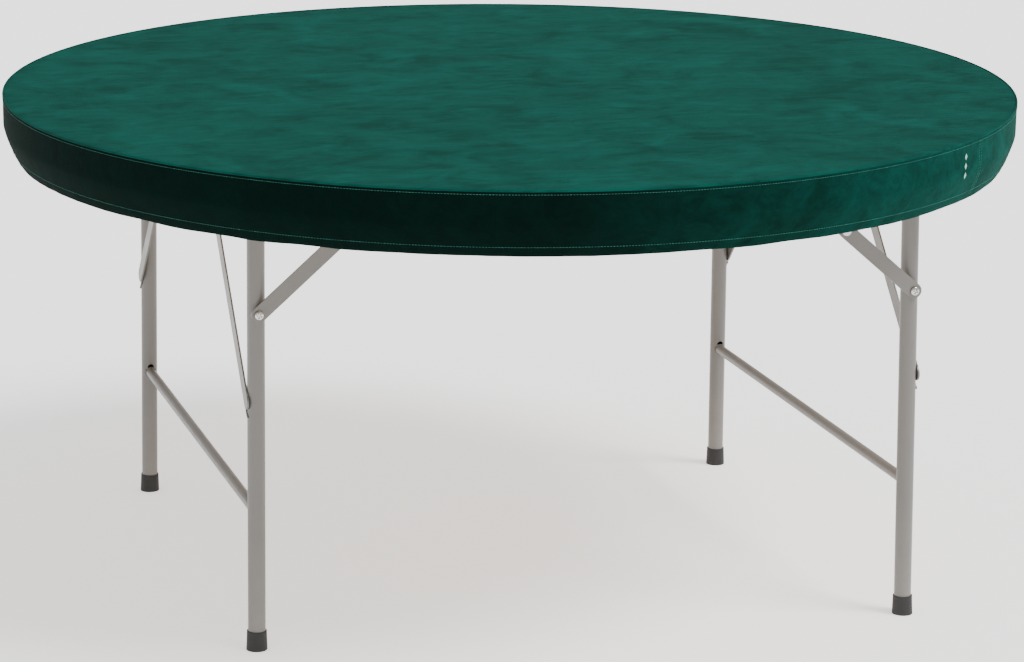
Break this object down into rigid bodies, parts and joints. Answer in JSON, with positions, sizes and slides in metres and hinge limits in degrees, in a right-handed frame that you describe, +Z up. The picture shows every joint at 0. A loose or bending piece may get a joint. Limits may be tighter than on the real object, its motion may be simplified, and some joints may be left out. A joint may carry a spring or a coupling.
{
  "type": "folding card table",
  "caption": "Round folding card table under a fitted green velvet cover, on two grey tubular leg frames that fold on knee braces.",
  "frame": {"origin": "on the floor under the middle of the table", "axes": "+Z is up; +X runs from the left leg frame to the right one; +Y is away from the viewer"},
  "size_m": [1.5218, 1.5218, 0.74],
  "materials": {
    "cover_velvet": "green crushed velvet",
    "hem_elastic": "woven elastic",
    "plywood": "clear lacquer",
    "edge_plastic": "fine grain",
    "zinc_steel": "zinc plated",
    "foot_rubber": "moulded",
    "black_plastic": "moulded",
    "bright_fixings": "nickel plated",
    "spacer_nylon": "natural nylon",
    "frame_paint": "warm grey powder coat"
  },
  "bodies": {
    "table_top": {"board_edge": "edge_plastic", "bracket_pins": "bright_fixings", "bracket_screws": "bright_fixings", "cover_hem_elastic": "hem_elastic", "cover_piping": "cover_velvet", "cover_skirt": "cover_velvet", "cover_top": "cover_velvet", "left_far_brace_bracket": "zinc_steel", "left_far_saddle": "zinc_steel", "left_near_brace_bracket": "zinc_steel", "left_near_saddle": "zinc_steel", "rail_far": "zinc_steel", "rail_near": "zinc_steel", "rail_screws": "bright_fixings", "right_far_brace_bracket": "zinc_steel", "right_far_saddle": "zinc_steel", "right_near_brace_bracket": "zinc_steel", "right_near_saddle": "zinc_steel", "saddle_screws": "bright_fixings", "table_board": "plywood"},
    "left_leg_frame": {"left_brace_bolts": "bright_fixings", "left_brace_nuts": "bright_fixings", "left_brace_spacers": "spacer_nylon", "left_crossbar": "frame_paint", "left_far_diagonal": "frame_paint", "left_far_foot": "foot_rubber", "left_far_leg": "frame_paint", "left_near_diagonal": "frame_paint", "left_near_foot": "foot_rubber", "left_near_leg": "frame_paint", "left_pivot_tube": "frame_paint", "left_plugs": "black_plastic"},
    "left_lower_braces": {"left_far_lower_link": "frame_paint", "left_knee_rivet_ends": "bright_fixings", "left_near_lower_link": "frame_paint"},
    "left_upper_braces": {"left_far_knee_rivet": "bright_fixings", "left_far_upper_link": "frame_paint", "left_near_knee_rivet": "bright_fixings", "left_near_upper_link": "frame_paint"},
    "right_leg_frame": {"right_brace_bolts": "bright_fixings", "right_brace_nuts": "bright_fixings", "right_brace_spacers": "spacer_nylon", "right_crossbar": "frame_paint", "right_far_diagonal": "frame_paint", "right_far_foot": "foot_rubber", "right_far_leg": "frame_paint", "right_near_diagonal": "frame_paint", "right_near_foot": "foot_rubber", "right_near_leg": "frame_paint", "right_pivot_tube": "frame_paint", "right_plugs": "black_plastic"},
    "right_lower_braces": {"right_far_lower_link": "frame_paint", "right_knee_rivet_ends": "bright_fixings", "right_near_lower_link": "frame_paint"},
    "right_upper_braces": {"right_far_knee_rivet": "bright_fixings", "right_far_upper_link": "frame_paint", "right_near_knee_rivet": "bright_fixings", "right_near_upper_link": "frame_paint"}
  },
  "joints": [
    {"name": "left_fold", "type": "hinge", "parent": "table_top", "child": "left_leg_frame", "pos_m": [-0.47, 0.055, 0.69], "axis": [0, -1, 0], "range_deg": [0, 90]},
    {"name": "left_lower_brace_turn", "type": "hinge", "parent": "left_leg_frame", "child": "left_lower_braces", "pos_m": [-0.47225, 0.055, 0.496], "axis": [0, -1, 0], "range_deg": [-133.33, 0.5]},
    {"name": "left_upper_brace_turn", "type": "hinge", "parent": "table_top", "child": "left_upper_braces", "pos_m": [-0.25253, 0.055, 0.687], "axis": [0, -1, 0], "range_deg": [-0.5, 137.67]},
    {"name": "right_fold", "type": "hinge", "parent": "table_top", "child": "right_leg_frame", "pos_m": [0.47, -0.055, 0.662], "axis": [0, 1, 0], "range_deg": [0, 90]},
    {"name": "right_lower_brace_turn", "type": "hinge", "parent": "right_leg_frame", "child": "right_lower_braces", "pos_m": [0.47201, -0.055, 0.496], "axis": [0, 1, 0], "range_deg": [-116.49, 0.5]},
    {"name": "right_upper_brace_turn", "type": "hinge", "parent": "table_top", "child": "right_upper_braces", "pos_m": [0.27414, -0.055, 0.668], "axis": [0, 1, 0], "range_deg": [-0.5, 154.51]}
  ],
  "couplings": [
    {"joint": "left_lower_brace_turn", "follows": "left_fold", "ratio": -1.4759},
    {"joint": "left_upper_brace_turn", "follows": "left_fold", "ratio": 1.5241},
    {"joint": "right_lower_brace_turn", "follows": "right_fold", "ratio": -1.2888},
    {"joint": "right_upper_brace_turn", "follows": "right_fold", "ratio": 1.7112}
  ]
}
